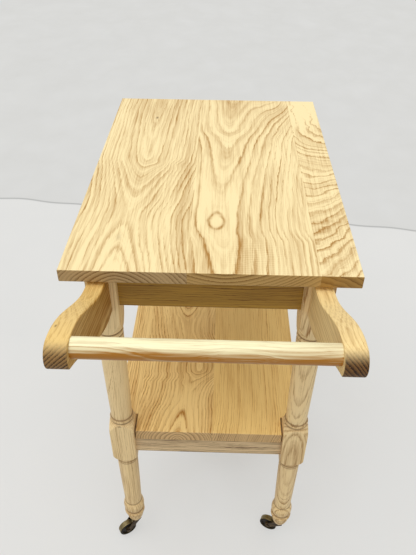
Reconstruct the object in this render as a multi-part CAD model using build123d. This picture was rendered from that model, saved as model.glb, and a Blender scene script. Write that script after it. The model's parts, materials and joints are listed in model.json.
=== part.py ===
from build123d import *
import os
from math import cos, radians, sin, sqrt

# Butcher block table on casters: a solid ash trolley with four turned legs, a low shelf and a push
# handle across its front. Front is -Y, left is -X. Sizes are in millimetres.

# Top, three boards glued edge to edge
top_width = 450.0
top_depth = 660.0
top_thickness = 23.0
top_height = 840.0
top_left_board_width = 191.0
top_right_board_width = 62.0
top_upper_ease = 1.2
top_lower_round = 3.5
top_overhang = 29.0

# Legs, turned from square stock
leg_square = 48.0
leg_corner_ease = 1.5
caster_height = 50.0
upper_block_length = 96.0
tongue_length = 45.0
neck_radius = 21.5
groove_radius = 20.4
bead_radius = 23.4
bead_height = 10.0
shaft_top_radius = 22.8
shaft_middle_radius = 22.1
shaft_bottom_radius = 20.6
block_rise_over_shelf = 26.0
lower_block_length = 120.0
pommel_top_length = 33.0
pommel_bottom_length = 21.0
ring_radius = 22.4
ring_height = 6.5
lower_shaft_top_radius = 21.4
lower_shaft_middle_radius = 20.2
lower_shaft_bottom_radius = 18.5
foot_height = 80.0
foot_bulb_height = 36.0
foot_bulb_radius = 23.2
foot_bead_height = 15.0
foot_bead_radius = 23.0
foot_groove_radius = 18.6
toe_top_radius = 19.6
toe_shoulder_radius = 18.0
toe_radius = 13.0

# Aprons under the top
apron_height = 82.0
apron_thickness = 22.0
apron_setback = 14.0

# Shelf and the rails that carry it
shelf_height = 406.0
shelf_thickness = 25.0
shelf_front_setback = 8.0
shelf_side_setback = 9.0
shelf_leg_gap = 2.5
shelf_joint = 8.0
shelf_ease = 1.5
rail_height = 43.0
rail_thickness = 22.0
rail_end_setback = 9.5
rail_side_setback = 13.0

# Mortise and tenon joints
tenon_thickness = 10.0
tenon_shoulder = 8.0
side_tenon_length = 24.0
tenon_wall = 1.5
tenon_play = 0.15
board_ease = 1.0

# Handle
bracket_thickness = 28.0
bracket_drop = 6.0
bracket_flat = 19.0
bracket_ease = 1.5
scroll_reach = 218.0
scroll_rise = 27.0
scroll_radius = 20.0
scroll_cut_angle = 42.0
cut_slope_angle = 27.0
cut_pull = 95.0
bracket_root_pull = 70.0
handle_radius = 13.5
handle_behind_scroll = 3.5
handle_above_scroll = 4.5
handle_tenon_radius = 9.0
handle_tenon_length = 18.0
dowel_radius = 4.0
dowel_length = 34.0
dowel_leg_depth = 15.0
dowel_spacing = 36.0
dowel_play = 0.05
dowel_end_play = 0.5

# Buttons that hold the top down
button_length = 32.0
button_width = 30.0
button_height = 18.0
button_tongue = 8.0
button_tongue_height = 8.0
button_slot_play = 1.0
button_screw_inset = 18.0
button_spread = 150.0

# Wood screws
screw_radius = 2.25
screw_head_radius = 4.5
screw_head_height = 3.0
screw_bite = 14.0
screw_play = 0.05
screw_tip_play = 1.0
counterbore_radius = 5.0
counterbore_depth = 20.0
shelf_screw_spread_x = 90.0
shelf_screw_spread_y = 120.0

# Casters
wheel_radius = 20.5
wheel_width = 14.0
wheel_edge_round = 2.5
wheel_hub_radius = 6.0
wheel_rim_thickness = 4.5
wheel_recess = 2.5
caster_trail = 25.0
axle_radius = 2.0
axle_play = 0.06
axle_head_radius = 3.6
axle_head_height = 1.2
horn_gap = 0.7
horn_thickness = 2.2
horn_plate_thickness = 2.6
horn_plate_radius = 9.5
horn_eye_radius = 6.5
horn_ease = 0.8
socket_flange_radius = 11.0
socket_flange_thickness = 1.5
socket_outer_radius = 5.5
socket_length = 34.0
socket_hole_play = 0.05
socket_hole_end_play = 1.0
swivel_gap = 0.3
stem_radius = 4.0
stem_play = 0.05
stem_head_radius = 4.7
stem_head_height = 4.0
stem_head_round = 1.5
rivet_radius = 3.0
rivet_head_radius = 4.8
rivet_head_height = 1.4
rest_angles = {"front_left": 213.0, "front_right": 157.0, "back_left": 150.0, "back_right": 204.0}

corners = {"front_left": (-1, -1), "front_right": (1, -1), "back_left": (-1, 1), "back_right": (1, 1)}
ends = {"front": -1, "back": 1}
sides = {"left": -1, "right": 1}

# Places worked out from the sizes
underside = top_height - top_thickness
top_joint_left = top_left_board_width - top_width / 2
top_joint_right = top_width / 2 - top_right_board_width
leg_x = top_width / 2 - top_overhang - leg_square / 2
leg_y = top_depth / 2 - top_overhang - leg_square / 2
leg_inner_x = leg_x - leg_square / 2
leg_inner_y = leg_y - leg_square / 2
leg_front = leg_y + leg_square / 2
apron_bottom = underside - apron_height
apron_x = leg_x + leg_square / 2 - apron_setback - apron_thickness / 2
apron_y = leg_y + leg_square / 2 - apron_setback - apron_thickness / 2
shelf_bottom = shelf_height - shelf_thickness
rail_bottom = shelf_bottom - rail_height
rail_x = leg_x + leg_square / 2 - rail_side_setback - rail_thickness / 2
rail_y = leg_y + leg_square / 2 - rail_end_setback - rail_thickness / 2
scroll_y = -leg_front - scroll_reach
scroll_z = top_height + scroll_rise
handle_y = scroll_y + handle_behind_scroll
handle_z = scroll_z + handle_above_scroll
frame_shift = Pos(0, -(scroll_y - scroll_radius + top_depth / 2) / 2, 0)


def block(x_low, x_high, y_low, y_high, z_low, z_high):
    middle = ((x_low + x_high) / 2, (y_low + y_high) / 2, (z_low + z_high) / 2)
    return Pos(*middle) * Box(abs(x_high - x_low), abs(y_high - y_low), abs(z_high - z_low))


def rod(x, y, z_low, z_high, radius):
    return Pos(x, y, (z_low + z_high) / 2) * Cylinder(radius, z_high - z_low)


def save(node, shape):
    export_step(frame_shift * shape, f"parts/{node}.step")


class Outline:
    """A closed outline drawn with a pen, one stretch after another."""

    def __init__(self, start):
        self.start = start
        self.pen = start
        self.edges = []

    def line(self, *points):
        for point in points:
            self.edges.append(Line(self.pen, point))
            self.pen = point
        return self

    def arc(self, through, end):
        self.edges.append(ThreePointArc(self.pen, through, end))
        self.pen = end
        return self

    def tangent_arc(self, direction, end):
        self.edges.append(TangentArc(self.pen, end, tangent=direction))
        self.pen = end
        return self

    def arc_ending_upright(self, end):
        self.edges.append(TangentArc(end, self.pen, tangent=(0, 1)))
        self.pen = end
        return self

    def curve(self, *points):
        self.edges.append(Bezier(self.pen, *points))
        self.pen = points[-1]
        return self

    def face(self):
        return make_face(self.edges + [Line(self.pen, self.start)])


# Legs
def turned_leg():
    """A leg on the Z axis: square stock cut back by a turned outline of radius and height."""
    clear_radius = leg_square / sqrt(2)
    tongue_start = underside - upper_block_length
    tongue_end = tongue_start - tongue_length
    neck_bead_top = tongue_end - (neck_radius - groove_radius)
    neck_bead_bottom = neck_bead_top - bead_height
    block_top = shelf_height + block_rise_over_shelf
    collar_bottom = block_top + (neck_radius - groove_radius)
    collar_top = collar_bottom + bead_height
    block_bottom = block_top - lower_block_length
    ring_top = block_bottom - (neck_radius - groove_radius)
    ring_middle = ring_top - ring_height
    ring_bottom = ring_middle - ring_height
    foot_top = caster_height + foot_height
    bulb_bottom = foot_top - foot_bulb_height
    bead_bottom = bulb_bottom - foot_bead_height
    toe_top = bead_bottom - (toe_top_radius - foot_groove_radius)
    upper_middle = (neck_bead_bottom + collar_top) / 2
    lower_middle = (ring_bottom + foot_top) / 2

    outline = Outline((0, underside))
    outline.line((clear_radius, underside), (clear_radius, tongue_start))
    outline.tangent_arc((0, -1), (neck_radius, tongue_end))
    outline.line((groove_radius, neck_bead_top))
    outline.arc((bead_radius, (neck_bead_top + neck_bead_bottom) / 2), (groove_radius, neck_bead_bottom))
    outline.line((shaft_top_radius, neck_bead_bottom - (shaft_top_radius - groove_radius)))
    outline.arc((shaft_middle_radius, upper_middle), (shaft_bottom_radius, collar_top))
    outline.arc((bead_radius, (collar_top + collar_bottom) / 2), (groove_radius, collar_bottom))
    outline.line((neck_radius, block_top))
    outline.arc_ending_upright((clear_radius, block_top - pommel_top_length))
    outline.line((clear_radius, block_bottom + pommel_bottom_length))
    outline.tangent_arc((0, -1), (neck_radius, block_bottom))
    outline.line((groove_radius, ring_top))
    outline.arc((ring_radius, (ring_top + ring_middle) / 2), (groove_radius, ring_middle))
    outline.arc((ring_radius, (ring_middle + ring_bottom) / 2), (groove_radius, ring_bottom))
    outline.line((lower_shaft_top_radius, ring_bottom - (lower_shaft_top_radius - groove_radius)))
    outline.arc((lower_shaft_middle_radius, lower_middle), (lower_shaft_bottom_radius, foot_top))
    outline.arc((foot_bulb_radius, (foot_top + bulb_bottom) / 2), (foot_groove_radius, bulb_bottom))
    outline.arc((foot_bead_radius, (bulb_bottom + bead_bottom) / 2), (foot_groove_radius, bead_bottom))
    outline.line((toe_top_radius, toe_top))
    outline.arc((toe_shoulder_radius, (toe_top + caster_height) / 2), (toe_radius, caster_height))
    outline.line((0, caster_height))

    turned = revolve(Plane.XZ * outline.face(), Axis.Z)
    half = leg_square / 2
    stock = block(-half, half, -half, half, caster_height, underside)
    stock = fillet(stock.edges().filter_by(Axis.Z), leg_corner_ease)
    return stock & turned


# Frame boards with their tenons
def end_tenon(end, line_x, line_y, low, high, play):
    """The tenons of a front or back board, as one bar that runs through the board."""
    reach = line_x - tenon_thickness / 2 - tenon_wall + play
    half = tenon_thickness / 2 + play
    shoulder = tenon_shoulder - play
    y = end * line_y
    return block(-reach, reach, y - half, y + half, low + shoulder, high - shoulder)


def side_tenon(side, line_x, low, high, play):
    """The tenons of a left or right board, as one bar that runs through the board."""
    reach = leg_inner_y + side_tenon_length + play
    half = tenon_thickness / 2 + play
    shoulder = tenon_shoulder - play
    x = side * line_x
    return block(x - half, x + half, -reach, reach, low + shoulder, high - shoulder)


def end_board(end, line_x, line_y, thickness, low, high):
    y = end * line_y
    board = block(-leg_inner_x, leg_inner_x, y - thickness / 2, y + thickness / 2, low, high)
    board = fillet(board.edges().filter_by(Axis.X), board_ease)
    return board + end_tenon(end, line_x, line_y, low, high, 0)


def side_board(side, line_x, thickness, low, high):
    x = side * line_x
    board = block(x - thickness / 2, x + thickness / 2, -leg_inner_y, leg_inner_y, low, high)
    board = fillet(board.edges().filter_by(Axis.Y), board_ease)
    return board + side_tenon(side, line_x, low, high, 0)


# Buttons: each stands at an inner face of an apron, with its tongue in a slot there
apron_inner_x = apron_x - apron_thickness / 2
apron_inner_y = apron_y - apron_thickness / 2
button_places = []
for side in sides.values():
    for spread in (-button_spread, button_spread):
        button_places.append(Pos(side * apron_inner_x, spread, 0) * Rot(0, 0, 180 if side > 0 else 0))
for end in ends.values():
    button_places.append(Pos(0, end * apron_inner_y, 0) * Rot(0, 0, -90 * end))
button_seat = underside - button_height
tongue_top = button_seat + button_tongue_height


def button():
    half = button_width / 2
    body = block(0, button_length, -half, half, button_seat, underside)
    tongue = block(-button_tongue, 0, -half, half, button_seat, tongue_top)
    hole = rod(button_screw_inset, 0, button_seat, underside, screw_radius + screw_play)
    return body + tongue - hole


def button_slot():
    half = button_width / 2 + button_slot_play
    deep = -button_tongue - button_slot_play
    return block(deep, 0, -half, half, button_seat - button_slot_play, tongue_top)


def screw(x, y, seat, tip):
    """A screw whose head lies under the height of its seat and whose point is at the tip."""
    return rod(x, y, seat - screw_head_height, seat, screw_head_radius) + rod(x, y, seat, tip, screw_radius)


def pilot(x, y, mouth):
    return rod(x, y, mouth, mouth + screw_bite + screw_tip_play, screw_radius + screw_play)


# Shelf screws: two up through each rail, in counterbored holes
shelf_screw_places = []
for end in ends.values():
    for spread in (-shelf_screw_spread_x, shelf_screw_spread_x):
        shelf_screw_places.append((spread, end * rail_y))
for side in sides.values():
    for spread in (-shelf_screw_spread_y, shelf_screw_spread_y):
        shelf_screw_places.append((side * rail_x, spread))
counterbore_top = rail_bottom + counterbore_depth


def rail_holes():
    holes = []
    for x, y in shelf_screw_places:
        holes.append(rod(x, y, rail_bottom, counterbore_top, counterbore_radius))
        holes.append(rod(x, y, counterbore_top, shelf_bottom, screw_radius + screw_play))
    return holes


# Top and shelf, each a whole panel that is then parted at its glue joints
def top_panel():
    panel = block(-top_width / 2, top_width / 2, -top_depth / 2, top_depth / 2, underside, top_height)
    panel = fillet(panel.faces().sort_by(Axis.Z)[-1].edges(), top_upper_ease)
    panel = fillet(panel.faces().sort_by(Axis.Z)[0].edges(), top_lower_round)
    return panel - [place * pilot(button_screw_inset, 0, underside) for place in button_places]


def shelf_panel():
    half_width = leg_x + leg_square / 2 - shelf_side_setback
    half_depth = leg_y + leg_square / 2 - shelf_front_setback
    panel = block(-half_width, half_width, -half_depth, half_depth, shelf_bottom, shelf_height)
    notch_x = leg_inner_x - shelf_leg_gap
    notch_y = leg_inner_y - shelf_leg_gap
    for side, end in corners.values():
        past_x = side * (half_width + shelf_leg_gap)
        past_y = end * (half_depth + shelf_leg_gap)
        panel = panel - block(side * notch_x, past_x, end * notch_y, past_y, shelf_bottom, shelf_height)
    panel = fillet(panel.faces().sort_by(Axis.Z)[-1].edges(), shelf_ease)
    return panel - [pilot(x, y, shelf_bottom) for x, y in shelf_screw_places]


def board_of(panel, x_low, x_high):
    return panel & block(x_low, x_high, -top_depth, top_depth, 0, top_height)


# Handle
def bracket_outline():
    """The ogee bracket seen from the side, from its upper corner on the leg round to the lower one."""
    root_top = underside - bracket_drop
    scroll_top = scroll_z + scroll_radius
    flat_end = -leg_front - bracket_flat
    pull = (flat_end - scroll_y) / 3
    cut_turn = radians(scroll_cut_angle)
    cut_start = (scroll_y - scroll_radius * cos(cut_turn), scroll_z - scroll_radius * sin(cut_turn))
    slope = radians(cut_slope_angle)
    cut_end = (cut_start[0] + cut_pull * cos(slope), cut_start[1] - cut_pull * sin(slope))
    outline = Outline((-leg_front, root_top))
    outline.line((flat_end, root_top))
    outline.curve((flat_end - pull, root_top), (scroll_y + pull, scroll_top), (scroll_y, scroll_top))
    outline.arc((scroll_y - scroll_radius, scroll_z), cut_start)
    outline.curve(cut_end, (-leg_front - bracket_root_pull, apron_bottom), (-leg_front, apron_bottom))
    return outline.face()


def dowel_heights():
    middle = (apron_bottom + underside - bracket_drop) / 2
    return (middle - dowel_spacing / 2, middle + dowel_spacing / 2)


def dowel(x, z, radius, end_play):
    """A dowel along Y that crosses from the front of a leg into its bracket."""
    low = -leg_front - (dowel_length - dowel_leg_depth) - end_play
    high = -leg_front + dowel_leg_depth + end_play
    return Pos(x, (low + high) / 2, z) * Rot(90, 0, 0) * Cylinder(radius, high - low)


def handle_bar(radius, half_length):
    return Pos(0, handle_y, handle_z) * Rot(0, 90, 0) * Cylinder(radius, 2 * half_length)


bracket_inner_x = leg_x - bracket_thickness / 2
handle_half = bracket_inner_x + handle_tenon_length


def bracket(side):
    plank = extrude(Plane.YZ * bracket_outline(), bracket_thickness / 2, both=True)
    outer_faces = plank.faces().filter_by(Axis.X)
    long_edges = outer_faces.edges().filter_by(Axis.Z, reverse=True)
    plank = Pos(side * leg_x, 0, 0) * fillet(long_edges, bracket_ease)
    holes = [dowel(side * leg_x, z, dowel_radius + dowel_play, dowel_end_play) for z in dowel_heights()]
    return plank - holes - handle_bar(handle_tenon_radius + dowel_play, handle_half + dowel_end_play)


# Casters, each modelled on its own upright stem with its wheel trailing along +X
flange_bottom = caster_height - socket_flange_thickness
plate_top = flange_bottom - swivel_gap
plate_bottom = plate_top - horn_plate_thickness
socket_top = caster_height + socket_length
cheek_inner = wheel_width / 2 + horn_gap
cheek_outer = cheek_inner + horn_thickness


def caster_socket():
    sleeve = rod(0, 0, flange_bottom, socket_top, socket_outer_radius)
    flange = rod(0, 0, flange_bottom, caster_height, socket_flange_radius)
    return sleeve + flange - rod(0, 0, flange_bottom, socket_top, stem_radius + stem_play)


def caster_stem():
    head_bottom = socket_top + swivel_gap
    shank = rod(0, 0, plate_top, head_bottom, stem_radius)
    head = rod(0, 0, head_bottom, head_bottom + stem_head_height, stem_head_radius)
    head = fillet(head.edges().sort_by(Axis.Z)[-1], stem_head_round)
    rivet = rod(0, 0, plate_bottom, plate_top, rivet_radius)
    rivet_head = rod(0, 0, plate_bottom - rivet_head_height, plate_bottom, rivet_head_radius)
    return shank + head + rivet + rivet_head


def caster_horn():
    eye = Pos(caster_trail, wheel_radius) * Circle(horn_eye_radius)
    plate = Pos(0, (plate_top + plate_bottom) / 2) * Rectangle(2 * horn_plate_radius, horn_plate_thickness)
    cheek = make_hull(eye.edges() + plate.edges())
    horn = extrude(Plane.XZ * cheek, cheek_outer, both=True)
    horn = fillet(horn.faces().filter_by(Axis.Y).edges(), horn_ease)
    reach = caster_trail + wheel_radius + horn_eye_radius
    horn = horn - block(-reach, reach, -cheek_inner, cheek_inner, 0, plate_bottom)
    horn = horn - rod(0, 0, plate_bottom, plate_top, rivet_radius + dowel_play)
    return horn - axle_bar(axle_radius + dowel_play, cheek_outer)


def axle_bar(radius, half_length):
    return Pos(caster_trail, 0, wheel_radius) * Rot(90, 0, 0) * Cylinder(radius, 2 * half_length)


def caster_axle():
    heads = axle_bar(axle_head_radius, cheek_outer + axle_head_height)
    heads = heads - block(0, 2 * caster_trail, -cheek_outer, cheek_outer, 0, 2 * wheel_radius)
    return heads + axle_bar(axle_radius, cheek_outer + axle_head_height / 2)


def caster_wheel():
    half = wheel_width / 2
    web = half - wheel_recess
    rim = wheel_radius - wheel_rim_thickness
    tread_edge = wheel_radius - wheel_edge_round
    bore = axle_radius + axle_play
    outline = Outline((bore, half))
    outline.line((wheel_hub_radius, half), (wheel_hub_radius, web))
    outline.line((rim, web), (rim, half), (tread_edge, half))
    outline.tangent_arc((1, 0), (wheel_radius, half - wheel_edge_round))
    outline.line((wheel_radius, wheel_edge_round - half))
    outline.tangent_arc((0, -1), (tread_edge, -half))
    outline.line((rim, -half), (rim, -web))
    outline.line((wheel_hub_radius, -web), (wheel_hub_radius, -half), (bore, -half))
    wheel = revolve(outline.face(), Axis.Y)
    return Pos(caster_trail, 0, wheel_radius) * wheel


os.makedirs("parts", exist_ok=True)

# The three boards of the top
top = top_panel()
save("top_board_left", board_of(top, -top_width, top_joint_left))
save("top_board_middle", board_of(top, top_joint_left, top_joint_right))
save("top_board_right", board_of(top, top_joint_right, top_width))

# The four legs, with their mortises, dowel holes and caster holes
mortises = []
for end in ends.values():
    mortises.append(end_tenon(end, apron_x, apron_y, apron_bottom, underside, tenon_play))
    mortises.append(end_tenon(end, rail_x, rail_y, rail_bottom, shelf_bottom, tenon_play))
for side in sides.values():
    mortises.append(side_tenon(side, apron_x, apron_bottom, underside, tenon_play))
    mortises.append(side_tenon(side, rail_x, rail_bottom, shelf_bottom, tenon_play))
    for z in dowel_heights():
        mortises.append(dowel(side * leg_x, z, dowel_radius + dowel_play, dowel_end_play))
socket_hole_top = socket_top + swivel_gap + stem_head_height + socket_hole_end_play
socket_hole = rod(0, 0, caster_height, socket_hole_top, socket_outer_radius + socket_hole_play)
leg = turned_leg() - socket_hole
for corner, (side, end) in corners.items():
    save(f"leg_{corner}", Pos(side * leg_x, end * leg_y, 0) * leg - mortises)

# Aprons under the top and rails under the shelf
slots = [place * button_slot() for place in button_places]
for name, end in ends.items():
    apron = end_board(end, apron_x, apron_y, apron_thickness, apron_bottom, underside)
    rail = end_board(end, rail_x, rail_y, rail_thickness, rail_bottom, shelf_bottom)
    save(f"apron_{name}", apron - slots)
    save(f"rail_{name}", rail - rail_holes())
for name, side in sides.items():
    apron = side_board(side, apron_x, apron_thickness, apron_bottom, underside)
    rail = side_board(side, rail_x, rail_thickness, rail_bottom, shelf_bottom)
    save(f"apron_{name}", apron - slots)
    save(f"rail_{name}", rail - rail_holes())

# Buttons and screws, each kind as one group
save("top_buttons", Compound([place * button() for place in button_places]))
button_screw = screw(button_screw_inset, 0, button_seat, underside + screw_bite)
save("top_button_screws", Compound([place * button_screw for place in button_places]))
shelf_screws = [screw(x, y, counterbore_top, shelf_bottom + screw_bite) for x, y in shelf_screw_places]
save("shelf_screws", Compound(shelf_screws))

# The three boards of the shelf
shelf = shelf_panel()
shelf_left_joint = shelf_leg_gap - leg_inner_x
save("shelf_board_left", board_of(shelf, -top_width, shelf_left_joint))
save("shelf_board_middle", board_of(shelf, shelf_left_joint, shelf_joint))
save("shelf_board_right", board_of(shelf, shelf_joint, top_width))

# Handle brackets, their dowels and the round rail
for name, side in sides.items():
    save(f"handle_bracket_{name}", bracket(side))
dowels = [dowel(side * leg_x, z, dowel_radius, 0) for side in sides.values() for z in dowel_heights()]
save("bracket_dowels", Compound(dowels))
handle_grip = handle_bar(handle_radius, bracket_inner_x)
save("handle_rail", handle_grip + handle_bar(handle_tenon_radius, handle_half))

# Casters at the four legs, each turned to where it came to rest
for corner, (side, end) in corners.items():
    place = Pos(side * leg_x, end * leg_y, 0) * Rot(0, 0, rest_angles[corner])
    save(f"caster_socket_{corner}", place * caster_socket())
    save(f"caster_stem_{corner}", place * caster_stem())
    save(f"caster_horn_{corner}", place * caster_horn())
    save(f"caster_axle_{corner}", place * caster_axle())
    save(f"caster_wheel_{corner}", place * caster_wheel())
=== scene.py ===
import json
from math import cos, pi, radians, sin

import bpy
from mathutils import Matrix, Vector


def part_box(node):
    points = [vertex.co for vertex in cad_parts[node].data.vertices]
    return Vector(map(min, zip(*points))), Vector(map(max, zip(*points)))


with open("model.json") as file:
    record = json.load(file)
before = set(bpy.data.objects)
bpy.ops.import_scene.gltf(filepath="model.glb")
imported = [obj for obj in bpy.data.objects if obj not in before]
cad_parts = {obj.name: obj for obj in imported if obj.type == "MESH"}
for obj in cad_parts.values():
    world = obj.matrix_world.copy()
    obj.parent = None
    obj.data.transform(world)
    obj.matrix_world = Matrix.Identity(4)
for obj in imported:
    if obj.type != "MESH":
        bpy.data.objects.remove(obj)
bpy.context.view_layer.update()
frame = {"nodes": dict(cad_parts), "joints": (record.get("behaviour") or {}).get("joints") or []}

# Top: three ash boards, planed, glued edge to edge and oiled to a satin finish. The upper arris is
# eased and the lower one rounded. The front and back edges show the ends of the growth rings.


class Lead:
    """An output of a shader node. Arithmetic on leads adds Math nodes to their tree."""

    def __init__(self, socket):
        self.socket = socket
        self.tree = socket.id_data

    def node(self, kind, settings, sockets, output=0):
        """Adds a node, sets it up, joins its sockets and gives back one of its outputs."""
        made = self.tree.nodes.new("ShaderNode" + kind)
        for name, value in settings.items():
            if name == "stops":
                for place, _ in value[1:-1]:
                    made.color_ramp.elements.new(place)
                for stop, (place, height) in zip(made.color_ramp.elements, value):
                    stop.position = place
                    stop.color = (height, height, height, 1)
            elif name == "points":
                points = made.mapping.curves[0].points
                for place, height in value[1:-1]:
                    points.new(place, height)
                for point, corner in zip(points, value):
                    point.location = corner
                    point.handle_type = "AUTO_CLAMPED"
                made.mapping.update()
            else:
                setattr(made, name, value)
        for name, value in sockets.items():
            if isinstance(value, Lead):
                self.tree.links.new(value.socket, made.inputs[name])
            else:
                made.inputs[name].default_value = value
        return Lead(made.outputs[output])

    def maths(self, operation, other=0.0):
        return self.node("Math", {"operation": operation}, {0: self, 1: other})

    def __add__(self, other):
        return self.maths("ADD", other)

    __radd__ = __add__

    def __sub__(self, other):
        return self.maths("SUBTRACT", other)

    def __rsub__(self, other):
        return self.node("Math", {"operation": "SUBTRACT"}, {0: other, 1: self})

    def __mul__(self, other):
        return self.maths("MULTIPLY", other)

    __rmul__ = __mul__

    def __truediv__(self, other):
        return self.maths("DIVIDE", other)

    def rise(self, low, high):
        """A smooth step from 0 at the low value to 1 at the high one."""
        ends = {"Value": self, "From Min": low, "From Max": high}
        return self.node("MapRange", {"interpolation_type": "SMOOTHSTEP"}, ends)

    def follow(self, places):
        """A smooth curve through pairs of a place and the size there."""
        start, end = places[0][0], places[-1][0]
        low = min(size for place, size in places)
        span = max(size for place, size in places) - low
        if span == 0:
            return low
        points = [((place - start) / (end - start), (size - low) / span) for place, size in places]
        curve = self.node("FloatCurve", {"points": points}, {"Value": (self - start) / (end - start)})
        return curve * span + low


def shade(red, green, blue):
    """A colour as a screen shows it, from 0 to 255, as the linear light that a shader takes."""
    return tuple((part / 255) ** 2.2 for part in (red, green, blue)) + (1,)


def mixed(factor, first, second):
    """The first colour where the factor is 0, and the second where it is 1."""
    settings = {"data_type": "RGBA", "clamp_factor": True}
    return factor.node("Mix", settings, {0: factor, 6: first, 7: second}, 2)


def split(lead, order):
    """The three parts of a vector, in the order of the axes given."""
    return [lead.node("SeparateXYZ", {}, {0: lead}, axis) for axis in order]


def vector(across, along, through):
    """A vector from three parts, at least one of them a lead."""
    lead = next(part for part in (across, along, through) if isinstance(part, Lead))
    return lead.node("CombineXYZ", {}, {0: across, 1: along, 2: through})


def noise(across, along, through, detail=2.0, roughness=0.5):
    """Soft noise from about -0.5 to 0.5."""
    place = vector(across, along, through)
    sockets = {"Vector": place, "Scale": 1.0, "Detail": detail, "Roughness": roughness}
    return place.node("TexNoise", {}, sockets) - 0.5


def bell(across, along, patch):
    """1 at the middle of a patch, falling smoothly to 0 outside it."""
    side = (across - patch[0]) / patch[2]
    length = (along - patch[1]) / patch[3]
    return ((side * side + length * length) * -1).maths("EXPONENT")


def new_finish(name):
    """A new material, its shader, and the place and the outward direction on the piece."""
    finish = bpy.data.materials.new(name)
    finish.use_nodes = True
    nodes = finish.node_tree.nodes
    shader = nodes["Principled BSDF"]
    around = nodes.new("ShaderNodeTexCoord")
    place = Lead(around.outputs["Object"])
    place = place.node("VectorMath", {"operation": "SCALE"}, {0: place, "Scale": 1000.0})
    return finish, shader, place, Lead(around.outputs["Normal"])


def join(shader, socket, lead):
    """Joins a lead to a socket of a shader."""
    lead.tree.links.new(lead.socket, shader.inputs[socket])


def coat(finish, *nodes):
    """Puts a finish on pieces that come from the frame."""
    for node in nodes:
        mesh = frame["nodes"][node].data
        mesh.materials.clear()
        mesh.materials.append(finish)


# One growth ring of ash, from its band of open early pores to its dense pale late wood, and the
# small marks of the timber. Their dark brown also paints the shade in the turned grooves of the legs.
ring_profile = [(0.0, 1.0), (0.06, 0.9), (0.17, 0.5), (0.36, 0.2), (0.62, 0.06), (0.88, 0.0), (1.0, 0.8)]
mark_and_groove_shade_brown = (96, 64, 34)
ripple_spacing = 4.6
satin_gloss = 0.28
polish_roughness = 0.2


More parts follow.
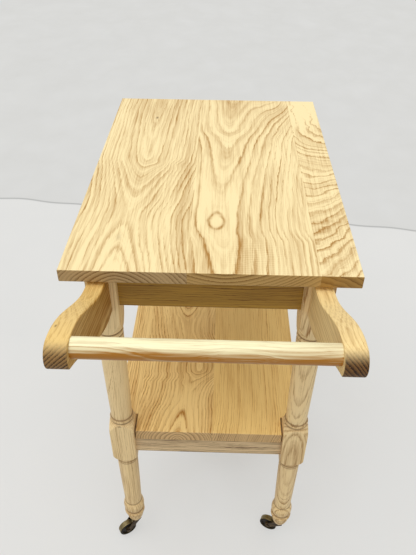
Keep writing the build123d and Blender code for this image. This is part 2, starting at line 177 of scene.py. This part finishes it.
def ash(name, order, middle, pith_across, pith_through, ring_width, pale, brown, seed, run=((0, 0), (1, 0)),
        outer=(9999.0, 1.0), point=2.0, tilt=0.0, wander=5.0, wave=2.6, curl=0.0, knots=(), lifts=(),
        eyes=(), pins=(), patches=(), ripples=(), figure=1.0, end_pale=(196, 160, 110),
        end_brown=(132, 100, 58), end_figure=1.3, end_tilt=0.0, end_from=(0.45, 0.95), front_only=False,
        polish=0.0):
    """Ash cut from a log: growth rings stand round a pith that wanders along the grain.

    Lengths are in mm from the middle. The pith and the run are given as places along the grain with
    the size there. Knots, lifts, pins, patches and ripples are spots: across, along, half width, half
    length and strength. An eye is the rim of a knot and has no strength.
    """
    finish, shader, place, outward = new_finish(name)
    place = place.node("VectorMath", {"operation": "SUBTRACT"}, {0: place, 1: middle})
    across, along, through = split(place, order)
    _, end_along, end_through = split(outward, order)
    along, through = along * cos(tilt) + through * sin(tilt), through * cos(tilt) - along * sin(tilt)
    end = end_along * cos(end_tilt) + end_through * sin(end_tilt)
    end = (end * -1 if front_only else end.maths("ABSOLUTE")).rise(*end_from)

    bent = across
    for knot in knots:
        bent = bent - (across - knot[0]) * bell(across, along, knot) * knot[4]
    bent = bent + noise(across / 70, along / 240, through / 70 + seed) * wander * 2
    bent = bent + noise(across / 24, along / 45, through / 24 + seed, 3.0) * wave * 2
    side = (bent - along.follow(pith_across)).maths("ABSOLUTE")
    deep = through - along.follow(pith_through)
    rings = (side.maths("POWER", point) * 30 ** (2 - point) + deep * deep).maths("SQRT") + along.follow(run)
    for lift in lifts:
        rings = rings + bell(across, along, lift) * lift[4]
    if curl > 0:
        rings = rings + noise(across / 40, along / 30, through / 40 + seed, 3.0) * curl * 2

    frayed = rings + noise(across * 0.6, along * 0.03, through * 0.6 + seed, 3.0) * 3.0
    uneven = noise(rings / ring_width * 0.21, 0.0, seed + 3.7) * 2.2
    narrower = (frayed - outer[0]).maths("MAXIMUM", 0.0) * (1 / outer[1] - 1 / ring_width)
    count = frayed / ring_width + narrower + uneven
    number = count.maths("FLOOR")
    phase = count - number
    line = phase.node("ValToRGB", {"stops": ring_profile}, {"Fac": phase})
    vigour = number.node("TexWhiteNoise", {"noise_dimensions": "1D"}, {"W": number + seed})
    fade = noise(rings * 0.12, along * 0.011, seed + 6.3).rise(-0.2, 0.14)
    line = line * (vigour * 0.75 + 0.25) * (fade * 0.6 + 0.4)

    fibre = noise(rings * 0.36, along * 0.005, seed, 4.0, 0.68)
    streak = noise(across * 0.4, along * 0.008, through * 0.4 + seed, 4.0, 0.65)
    cloud = noise(rings * 0.035, along * 0.004, seed + 9.1)
    pores = noise(across * 1.9, along * 0.11, through * 1.9, 1.0).rise(0.12, 0.26) * (line + 0.15)
    tone = line * figure + fibre * 1.4 + streak * 1.4 + cloud * 0.8 + pores * 0.25 + 0.1
    for eye in eyes:
        reach = ((across - eye[0]) / eye[2]).maths("ABSOLUTE").maths("POWER", 1.5)
        reach = reach + ((along - eye[1]) / eye[3]).maths("ABSOLUTE").maths("POWER", 1.5)
        reach = reach + noise(across / 16, along / 24, seed) * 0.7
        rim = (reach - 1) / 0.36
        ring = (rim * rim * -1.0).maths("EXPONENT") * (0.55 + noise(across / 12, along / 16, seed + 5) * 1.6)
        tone = tone * (1 - (1 - reach.rise(0.7, 1.0)) * 0.8) + ring
    for ripple in ripples:
        swell = (along * (2 * pi / ripple_spacing) + noise(across / 9, along / 9, seed) * 7).maths("SINE")
        tone = tone + swell * bell(across, along, ripple) * ripple[4]
    for patch in patches:
        tone = tone + bell(bent, along, patch) * patch[4]
    colour = mixed(tone, shade(*pale), shade(*brown))
    band = line * end_figure + (1 - phase) * 0.35 * end_figure
    ends = mixed(band + fibre * 0.8 + cloud * 0.5 - 0.15, shade(*end_pale), shade(*end_brown))
    colour = mixed(end, colour, ends)
    # Pins paint dark marks of the timber, and on the legs the painted shade in the turned grooves.
    for pin in pins:
        colour = mixed(bell(across, along, pin) * pin[4], colour, shade(*mark_and_groove_shade_brown))
    join(shader, "Base Color", colour)
    join(shader, "Roughness", 0.47 + line * 0.1 + fibre * 0.12 + end * 0.12)
    height = fibre * 0.3 - line * 0.35 - pores * 0.9
    bump = height.node("Bump", {}, {"Strength": 0.22, "Distance": 0.0004, "Height": height})
    join(shader, "Normal", bump)
    shader.inputs["Specular IOR Level"].default_value = satin_gloss
    shader.inputs["Coat Weight"].default_value = polish
    shader.inputs["Coat Roughness"].default_value = polish_roughness
    return finish


top_low, top_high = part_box("top_board_left")
middle_y = (top_low.y + top_high.y) * 500
top_middle = (0.0, middle_y, top_high.z * 1000)
along_depth = ("X", "Y", "Z")
top_pale = (254, 232, 177)
top_brown = (176, 130, 66)

coat(ash(
    "ash_top_left", along_depth, top_middle, ring_width=8.0, pale=top_pale, brown=top_brown, seed=1.0,
    pith_across=[(-330, -140), (-225, -145), (-128, -137), (-57, -135), (35, -132), (222, -132),
                 (330, -128)],
    pith_through=[(-330, -50), (-290, -53), (-225, -58), (-180, -60), (-128, -57), (-57, -49), (-10, -41),
                  (35, -33), (130, -29), (222, -25), (330, -21)],
    outer=(52.0, 4.6), point=1.6, figure=0.85, knots=[(-88, 5, 20, 14, -0.9)],
    pins=[(-131, 221, 2.5, 5, 0.8), (-147, -242, 4, 9, 0.25)],
    patches=[(-49, 0, 13, 300, 0.22), (-72, -150, 9, 130, -0.14), (-130, 260, 90, 110, 0.12),
             (-145, -318, 22, 30, -0.4)],
    end_pale=(188, 158, 112), end_brown=(128, 98, 58),
), "top_board_left")

coat(ash(
    "ash_top_middle", along_depth, top_middle, ring_width=7.2, pale=top_pale, brown=top_brown, seed=2.0,
    pith_across=[(-330, 22), (-250, 18), (-190, 8), (-120, 12), (-15, 18), (30, 22), (150, 27), (330, 35)],
    pith_through=[(-330, 92), (-190, 88), (-120, 87), (-15, 84), (120, 77), (172, 70), (330, 64)],
    outer=(105.0, 5.4), point=1.7, knots=[(7, -190, 22, 50, 0.7)], lifts=[(150, 345, 60, 120, -34)],
    curl=0.6, eyes=[(7, -190, 13, 25)], ripples=[(70, -285, 45, 40, 0.1)],
    patches=[(51, -140, 7, 150, 0.3), (110, 270, 50, 50, 0.16), (30, 325, 34, 22, 0.25),
             (10, -120, 26, 90, -0.1)],
    end_pale=(192, 156, 96), end_brown=(130, 96, 46),
), "top_board_middle")

coat(ash(
    "ash_top_right", along_depth, top_middle, ring_width=9.0, pale=top_pale, brown=top_brown, seed=3.0,
    pith_across=[(-330, 100), (-200, 135), (-120, 160), (-50, 188), (0, 205), (150, 238), (330, 250)],
    pith_through=[(-330, -212), (-110, -150), (0, -115), (150, -90), (330, -70)],
    run=[(-330, 60), (-50, 60), (180, 0), (330, 0)], wave=8.0, curl=8.0, figure=1.3,
    patches=[(185, 295, 45, 90, -0.8), (190, -180, 40, 120, 0.12)],
    end_pale=(172, 132, 70), end_brown=(126, 90, 38),
), "top_board_right")

# Legs: four turned posts of ash, square where the aprons and rails are jointed in, round between
# with beads and grooves, and tapered to a bulb and toe at the foot.
up_grain = ("X", "Z", "Y")
leg_pale = (245, 216, 161)
leg_brown = (156, 111, 58)
leg_grain = {
    "front_left": dict(
        ring_width=2.6, figure=0.7, pith_across=[(0, 62), (300, 60), (440, 58), (720, 80), (900, 84)],
        pith_through=[(0, 44), (440, 44), (720, 56), (900, 58)]),
    "front_right": dict(
        ring_width=4.0, figure=1.5, pith_across=[(0, 2), (300, 2), (312, -2), (432, -2), (445, 7), (900, 5)],
        pith_through=[(0, 18), (94, 20), (298, 38), (312, 7), (432, 15), (446, 24), (720, 40), (900, 46)]),
    "back_left": dict(
        ring_width=2.6, figure=1.2, pith_across=[(0, -30), (900, -24)],
        pith_through=[(0, -26), (440, -38), (900, -30)]),
    "back_right": dict(
        ring_width=2.6, figure=1.2, pith_across=[(0, 26), (900, 20)],
        pith_through=[(0, -38), (440, -24), (900, -36)]),
}
turned_grooves = (675, 665, 443, 433, 311, 304.4, 298, 130, 94, 79)
# Painted shade, with finish gathered in them, as dark lines along the turned grooves of the legs.
groove_shade_and_finish_lines = [(0, height, 999, 1.6, 0.65) for height in turned_grooves]
leg_pins = {"front_left": [(-2.5, 428, 4, 1.5, 0.8)]}
# A paler stretch of the upper shaft, and darker bands round the turned grooves at the collar, low on the
# shaft and at the foot: painted shade.
leg_tones_and_groove_shade = [(0, 560, 99, 110, -0.18), (0, 439, 99, 9, 0.25), (0, 303, 99, 8, 0.2), (0, 86, 99, 30, 0.25)]
for seed, (corner, grain) in enumerate(leg_grain.items(), 13):
    low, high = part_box(f"leg_{corner}")
    axis = ((low.x + high.x) * 500, (low.y + high.y) * 500, 0.0)
    coat(ash(
        f"ash_leg_{corner}", up_grain, axis, pale=leg_pale, brown=leg_brown, seed=seed, wander=3.0,
        wave=1.6, pins=groove_shade_and_finish_lines + leg_pins.get(corner, []), patches=leg_tones_and_groove_shade,
        end_pale=(222, 188, 138), end_brown=(160, 122, 76), end_figure=0.8, **grain,
    ), f"leg_{corner}")

# Aprons under the top and rails under the shelf: straight-grained ash boards, tenoned into the legs
# and set back from their faces.
along_width = ("Z", "X", "Y")
along_side = ("Z", "Y", "X")
frame_boards = {
    # The front apron has darker, deeper colours than the others: painted shade under the overhang of the
    # top.
    "apron_front": (along_width, (174, 133, 52), (106, 70, 16), 1.2),
    "apron_back": (along_width, (222, 182, 112), (150, 108, 50), 1.0),
    "apron_left": (along_side, (218, 178, 108), (148, 106, 48), 1.0),
    "apron_right": (along_side, (220, 180, 110), (148, 106, 48), 1.0),
    "rail_front": (along_width, (228, 198, 152), (96, 68, 40), 1.6),
    "rail_back": (along_width, (228, 198, 152), (104, 74, 42), 1.5),
    "rail_left": (along_side, (230, 198, 150), (104, 74, 42), 1.4),
    "rail_right": (along_side, (230, 198, 150), (104, 74, 42), 1.4),
}
for seed, (node, (order, pale, brown, figure)) in enumerate(frame_boards.items(), 21):
    low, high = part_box(node)
    coat(ash(
        f"ash_{node}", order, tuple((low + high) * 500), ring_width=5.0, pale=pale, brown=brown,
        seed=seed, pith_across=[(-300, 130), (0, 112), (300, 124)],
        pith_through=[(-300, 30), (300, 46)], wave=5.0, figure=figure,
    ), node)

# Shelf: three ash boards glued edge to edge, planed flush and oiled like the top. They are notched
# round the legs and screwed down to the rails from below.
_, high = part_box("shelf_board_middle")
shelf_middle = (0.0, middle_y, high.z * 1000)
shelf_pale = (255, 221, 150)
shelf_brown = (178, 120, 46)
shelf_end_pale = (214, 178, 126)
shelf_end_brown = (138, 104, 62)

coat(ash(
    "ash_shelf_left", along_depth, shelf_middle, ring_width=4.0, pale=shelf_pale, brown=shelf_brown,
    seed=31.0, pith_across=[(-300, -330), (0, -320), (300, -335)],
    pith_through=[(-300, -90), (300, -110)], figure=1.1,
    patches=[(-110, -60, 40, 300, -0.25), (-92, -190, 12, 90, 0.3)],
    end_pale=shelf_end_pale, end_brown=shelf_end_brown,
), "shelf_board_left")

coat(ash(
    "ash_shelf_middle", along_depth, shelf_middle, ring_width=6.6, pale=shelf_pale, brown=shelf_brown,
    seed=32.0, pith_across=[(-300, -62), (-240, -55), (-165, -42), (-115, -25), (-60, -40), (60, -60),
                            (300, -60)],
    pith_through=[(-300, -26), (-240, -34), (-200, -38), (-165, -34), (-140, -26), (-115, -16), (-90, -22),
                  (-40, -34), (0, -37), (60, -30), (110, -22), (300, -18)],
    outer=(44.0, 4.2), point=1.6, figure=1.4,
    # The paler patch near the front of the middle board is a painted highlight.
    patches=[(-45, -210, 34, 80, -0.2), (-8, 0, 5, 300, 0.18), (-62, -130, 9, 70, 0.25)],
    end_pale=shelf_end_pale, end_brown=shelf_end_brown,
), "shelf_board_middle")

coat(ash(
    "ash_shelf_right", along_depth, shelf_middle, ring_width=3.8, pale=(255, 219, 142), brown=(190, 128, 52),
    seed=33.0, pith_across=[(-300, 400), (-140, 412), (0, 404), (300, 410)],
    pith_through=[(-300, -98), (-140, -82), (0, -88), (300, -70)],
    figure=0.9, patches=[(90, 0, 3, 260, 0.25), (118, -60, 2.5, 200, 0.25), (90, -40, 90, 330, -0.2)],
    end_pale=shelf_end_pale, end_brown=shelf_end_brown,
), "shelf_board_right")

# Handle: two curved ash brackets sawn from plank and dowelled to the front legs, with a round ash
# rail between their scrolled ends.
bracket_tilt = radians(-14)
scroll_tilt = radians(12)
brackets = {
    "left": dict(
        seed=41.0, pith_across=[(-130, 80), (130, 80)], pith_through=[(-130, -50), (130, -50)],
        pale=(242, 206, 132), brown=(164, 110, 8), end_pale=(152, 116, 70),
        # On the inner face of the left bracket, a band toward its very saturated brown is painted shade.
        patches=[(17, 0, 5, 999, 0.95)], pins=[(-8.4, -87, 1.3, 3, 0.8)]),
    "right": dict(
        seed=42.0, pith_across=[(-130, -84), (130, -84)], pith_through=[(-130, -40), (130, -40)],
        pale=(254, 224, 158), brown=(180, 134, 70), end_pale=(118, 84, 46)),
}
for side, grain in brackets.items():
    low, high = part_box(f"handle_bracket_{side}")
    coat(ash(
        f"ash_bracket_{side}", along_depth, tuple((low + high) * 500), ring_width=4.2, tilt=bracket_tilt,
        # The end colour of the scrolls is near black and reaches round onto faces that turn down and
        # forward: end grain, with painted shade under the scrolls.
        wander=3.0, wave=1.2, figure=0.45, end_brown=(44, 24, 8), end_figure=2.2,
        end_tilt=scroll_tilt, end_from=(-0.3, 0.85), front_only=True, **grain,
    ), f"handle_bracket_{side}")

low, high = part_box("handle_rail")
coat(ash(
    "ash_handle", along_width, tuple((low + high) * 500), ring_width=4.6, pale=(255, 248, 202),
    brown=(172, 114, 34), seed=43.0,
    pith_across=[(-200, 12), (-120, 28), (-40, 14), (40, 26), (120, 13), (200, 24)],
    pith_through=[(-200, 20), (0, 14), (200, 20)], wander=1.0, wave=1.5, figure=0.5,
    # The rail is painted darker on its lower half, partly darker wood and partly painted shade on its
    # underside. The paler top is a painted highlight, and the rail darkens towards its right end.
    patches=[(-2, 0, 9.5, 999, 1.0), (14, 0, 5, 999, -0.2), (0, 150, 30, 55, 0.25)], polish=0.2,
), "handle_rail")

# Hidden joinery: ash dowels glued into the bracket joints, and small ash buttons that are screwed
# under the top and reach with a tongue into slots in the aprons, to hold it down.
low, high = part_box("top_buttons")
coat(ash(
    "ash_joinery", along_side, tuple((low + high) * 500), ring_width=3.6, pale=(233, 205, 152),
    brown=(184, 146, 94), seed=51.0, pith_across=[(-300, 90), (300, 90)],
    pith_through=[(-300, 40), (300, 40)],
), "top_buttons", "bracket_dowels")

# Screws: zinc-plated steel wood screws. They go up through the buttons into the top, and through the
# counterbored holes of the rails into the shelf.
finish, shader, place, _ = new_finish("zinc_steel")
x, y, z = split(place, along_depth)
scuff = noise(x * 1.7, y * 1.7, z * 0.6, 3.0)
cloudy = scuff.rise(-0.2, 0.25)
join(shader, "Base Color", mixed(cloudy, shade(150, 150, 146), shade(196, 196, 190)))
join(shader, "Roughness", 0.34 + scuff * 0.25)
shader.inputs["Metallic"].default_value = 1.0
coat(finish, "top_button_screws", "shelf_screws")

# Casters: antique brass. A socket is driven up into each leg, the stem swivels in it, and a bent
# horn carries a solid wheel on a riveted axle. The treads are brighter than the flat sides of the wheels.
finish, shader, place, _ = new_finish("antique_brass")
x, y, z = split(place, along_depth)
patina = noise(x / 6, y / 6, z / 6, 4.0, 0.65)
speck = noise(x * 1.4, y * 1.4, z * 1.4, 2.0)
worn = (patina * 1.2 + speck * 0.5).rise(-0.1, 0.45)
join(shader, "Base Color", mixed(worn, shade(58, 46, 34), shade(128, 104, 66)))
join(shader, "Roughness", 0.42 - worn * 0.12 + speck * 0.2)
bump = speck.node("Bump", {}, {"Strength": 0.15, "Distance": 0.0002, "Height": speck})
join(shader, "Normal", bump)
shader.inputs["Metallic"].default_value = 0.9
for corner in leg_grain:
    coat(finish, *(f"caster_{piece}_{corner}" for piece in ("socket", "stem", "horn", "axle")))

hub_edge = (7.0, 9.5)
joints = {joint["name"]: joint for joint in frame["joints"]}
for corner in leg_grain:
    roll = joints[f"roll_{corner}"]
    axle = tuple(roll["axis"])
    centre = tuple(part * 1000 for part in roll["pos_m"])
    finish, shader, place, outward = new_finish(f"wheel_brass_{corner}")
    spoke = place.node("VectorMath", {"operation": "SUBTRACT"}, {0: place, 1: centre})
    length = spoke.node("VectorMath", {"operation": "LENGTH"}, {0: spoke}, 1)
    facing = outward.node("VectorMath", {"operation": "DOT_PRODUCT"}, {0: outward, 1: axle}, 1)
    cheek = facing.maths("ABSOLUTE").rise(0.35, 0.8)
    x, y, z = split(spoke, along_depth)
    patina = noise(x / 5, y / 5, z / 5, 4.0, 0.65)
    scratch = noise(x * 1.6, y * 1.6, z * 1.6, 3.0)
    worn = (patina + scratch * 0.6).rise(-0.25, 0.35)
    tread = mixed(worn, shade(104, 92, 62), shade(150, 134, 96))
    hub = 1 - length.rise(*hub_edge)
    flat = mixed(hub, shade(34, 28, 22), shade(92, 66, 40))
    join(shader, "Base Color", mixed(cheek, tread, flat))
    join(shader, "Roughness", 0.36 + scratch * 0.3 + cheek * 0.12)
    bump = scratch.node("Bump", {}, {"Strength": 0.15, "Distance": 0.0002, "Height": scratch})
    join(shader, "Normal", bump)
    shader.inputs["Metallic"].default_value = 0.75
    coat(finish, f"caster_wheel_{corner}")

# Room: a pale painted floor, with a white cloth spread over its far part, its hem just behind the
# table. All around is as pale, and soft daylight falls from above, a little from the front left.
floor_half = 12.0
floor_pale = (227, 227, 225)
cloth_pale = (201, 201, 198)
floor_glow = (221, 221, 219)
floor_dull = (199, 199, 197)
backdrop_pale = (218, 218, 215)
hem_shadow_and_mottle_grey = (150, 152, 152)
hem_back = 1250.0
hem_slope = 0.1
sky_tint = (1.0, 0.99, 0.97, 1)
sky_strength = 0.515
daylight_strength = 1.8
daylight_spread = radians(60)
daylight_heading = Vector((0.15, 0.2, -1.0))


def looked_at(lead):
    """1 where a surface is seen straight, in metal or through glass, and 0 where it only lights others."""
    seen = lead.node("LightPath", {}, {}, "Is Camera Ray")
    mirrored = lead.node("LightPath", {}, {}, "Is Glossy Ray")
    through = lead.node("LightPath", {}, {}, "Is Transmission Ray")
    return seen + mirrored + through


finish, shader, place, _ = new_finish("pale_floor")
x, y, z = split(place, along_depth)
mottle = noise(x / 300, y / 300, z, 3.0)
# Faint folds in the cloth, painted as light and shade by how much of the glow shows.
painted_fold_light = noise(x / 260 + y / 900, y / 420 - x / 700, z + 4.0, 3.0).maths("ABSOLUTE")
ruffle = (x * 0.009).maths("SINE") * 6 + (x * 0.023).maths("SINE") * 5
from_hem = y - hem_back + x * hem_slope + ruffle
cloth = from_hem.rise(-5, 5)
# A painted shadow along the hem of the cloth, as a thin dark grey line.
hem = (from_hem * from_hem * -0.02).maths("EXPONENT") * 0.8
tint = mixed(mottle.rise(-0.3, 0.3) * 0.06, shade(*floor_dull), shade(*hem_shadow_and_mottle_grey))
join(shader, "Base Color", mixed(hem, tint, shade(*hem_shadow_and_mottle_grey)))
shader.inputs["Roughness"].default_value = 0.85
shader.inputs["Specular IOR Level"].default_value = 0.2
floor_lit = cloth.node("BsdfDiffuse", {}, {"Color": shade(*floor_pale)})
cloth_lit = cloth.node("BsdfDiffuse", {}, {"Color": shade(*cloth_pale)})
lit = cloth.node("MixShader", {}, {0: cloth, 1: floor_lit, 2: cloth_lit})
glow = cloth.node("Emission", {}, {"Color": shade(*floor_glow)})
even = 0.66 + mottle * 0.5 + cloth * painted_fold_light * 0.8
bright = even.node("MixShader", {}, {0: even, 1: lit, 2: glow})
shown = looked_at(cloth) * (1 - hem)
surface = shown.node("MixShader", {}, {0: shown, 1: Lead(shader.outputs[0]), 2: bright})
join(finish.node_tree.nodes["Material Output"], "Surface", surface)

floor_corners = [(-floor_half, -floor_half, 0), (floor_half, -floor_half, 0),
                 (floor_half, floor_half, 0), (-floor_half, floor_half, 0)]
mesh = bpy.data.meshes.new("floor")
mesh.from_pydata(floor_corners, [], [(0, 1, 2, 3)])
mesh.materials.append(finish)
floor = bpy.data.objects.new("floor", mesh)
bpy.context.scene.collection.objects.link(floor)

scene = bpy.context.scene
scene.view_settings.view_transform = "Standard"
world = bpy.data.worlds.new("daylight")
world.use_nodes = True
sky = world.node_tree.nodes["Background"]
sky.inputs["Color"].default_value = sky_tint
sky.inputs["Strength"].default_value = sky_strength
sky = Lead(sky.outputs["Background"])
backdrop = sky.node("Background", {}, {"Color": shade(*backdrop_pale), "Strength": 1.0})
shown = looked_at(sky)
around = shown.node("MixShader", {}, {0: shown, 1: sky, 2: backdrop})
join(world.node_tree.nodes["World Output"], "Surface", around)
scene.world = world

daylight = bpy.data.lights.new("daylight", "SUN")
daylight.angle = daylight_spread
daylight.energy = daylight_strength
window = bpy.data.objects.new("daylight", daylight)
window.rotation_euler = daylight_heading.to_track_quat("-Z", "Y").to_euler()
scene.collection.objects.link(window)

# Camera: at chest height in front of the handle, almost on the middle line. It looks down on the top
# through a fairly short lens and leans by half a degree.
camera_yaw = radians(-1.364)
camera_pitch = radians(38.842)
camera_roll = radians(0.518)
camera_lens = 36.9
camera_sensor = 36.0
camera_place = Vector((0.0128, middle_y / 1000 - 0.9794, 1.3556))
forward = Vector((sin(camera_yaw), cos(camera_yaw), 0))
level = Vector((cos(camera_yaw), -sin(camera_yaw), 0))
ahead = forward * cos(camera_pitch) - Vector((0, 0, sin(camera_pitch)))
above = level.cross(ahead)
right = level * cos(camera_roll) + above * sin(camera_roll)
upright = above * cos(camera_roll) - level * sin(camera_roll)
turn = Matrix((right, upright, -ahead)).transposed().to_4x4()
camera_data = bpy.data.cameras.new("camera")
camera_data.lens = camera_lens
camera_data.sensor_width = camera_sensor
camera = bpy.data.objects.new("camera", camera_data)
camera.matrix_world = Matrix.Translation(camera_place) @ turn
scene.collection.objects.link(camera)
scene.camera = camera
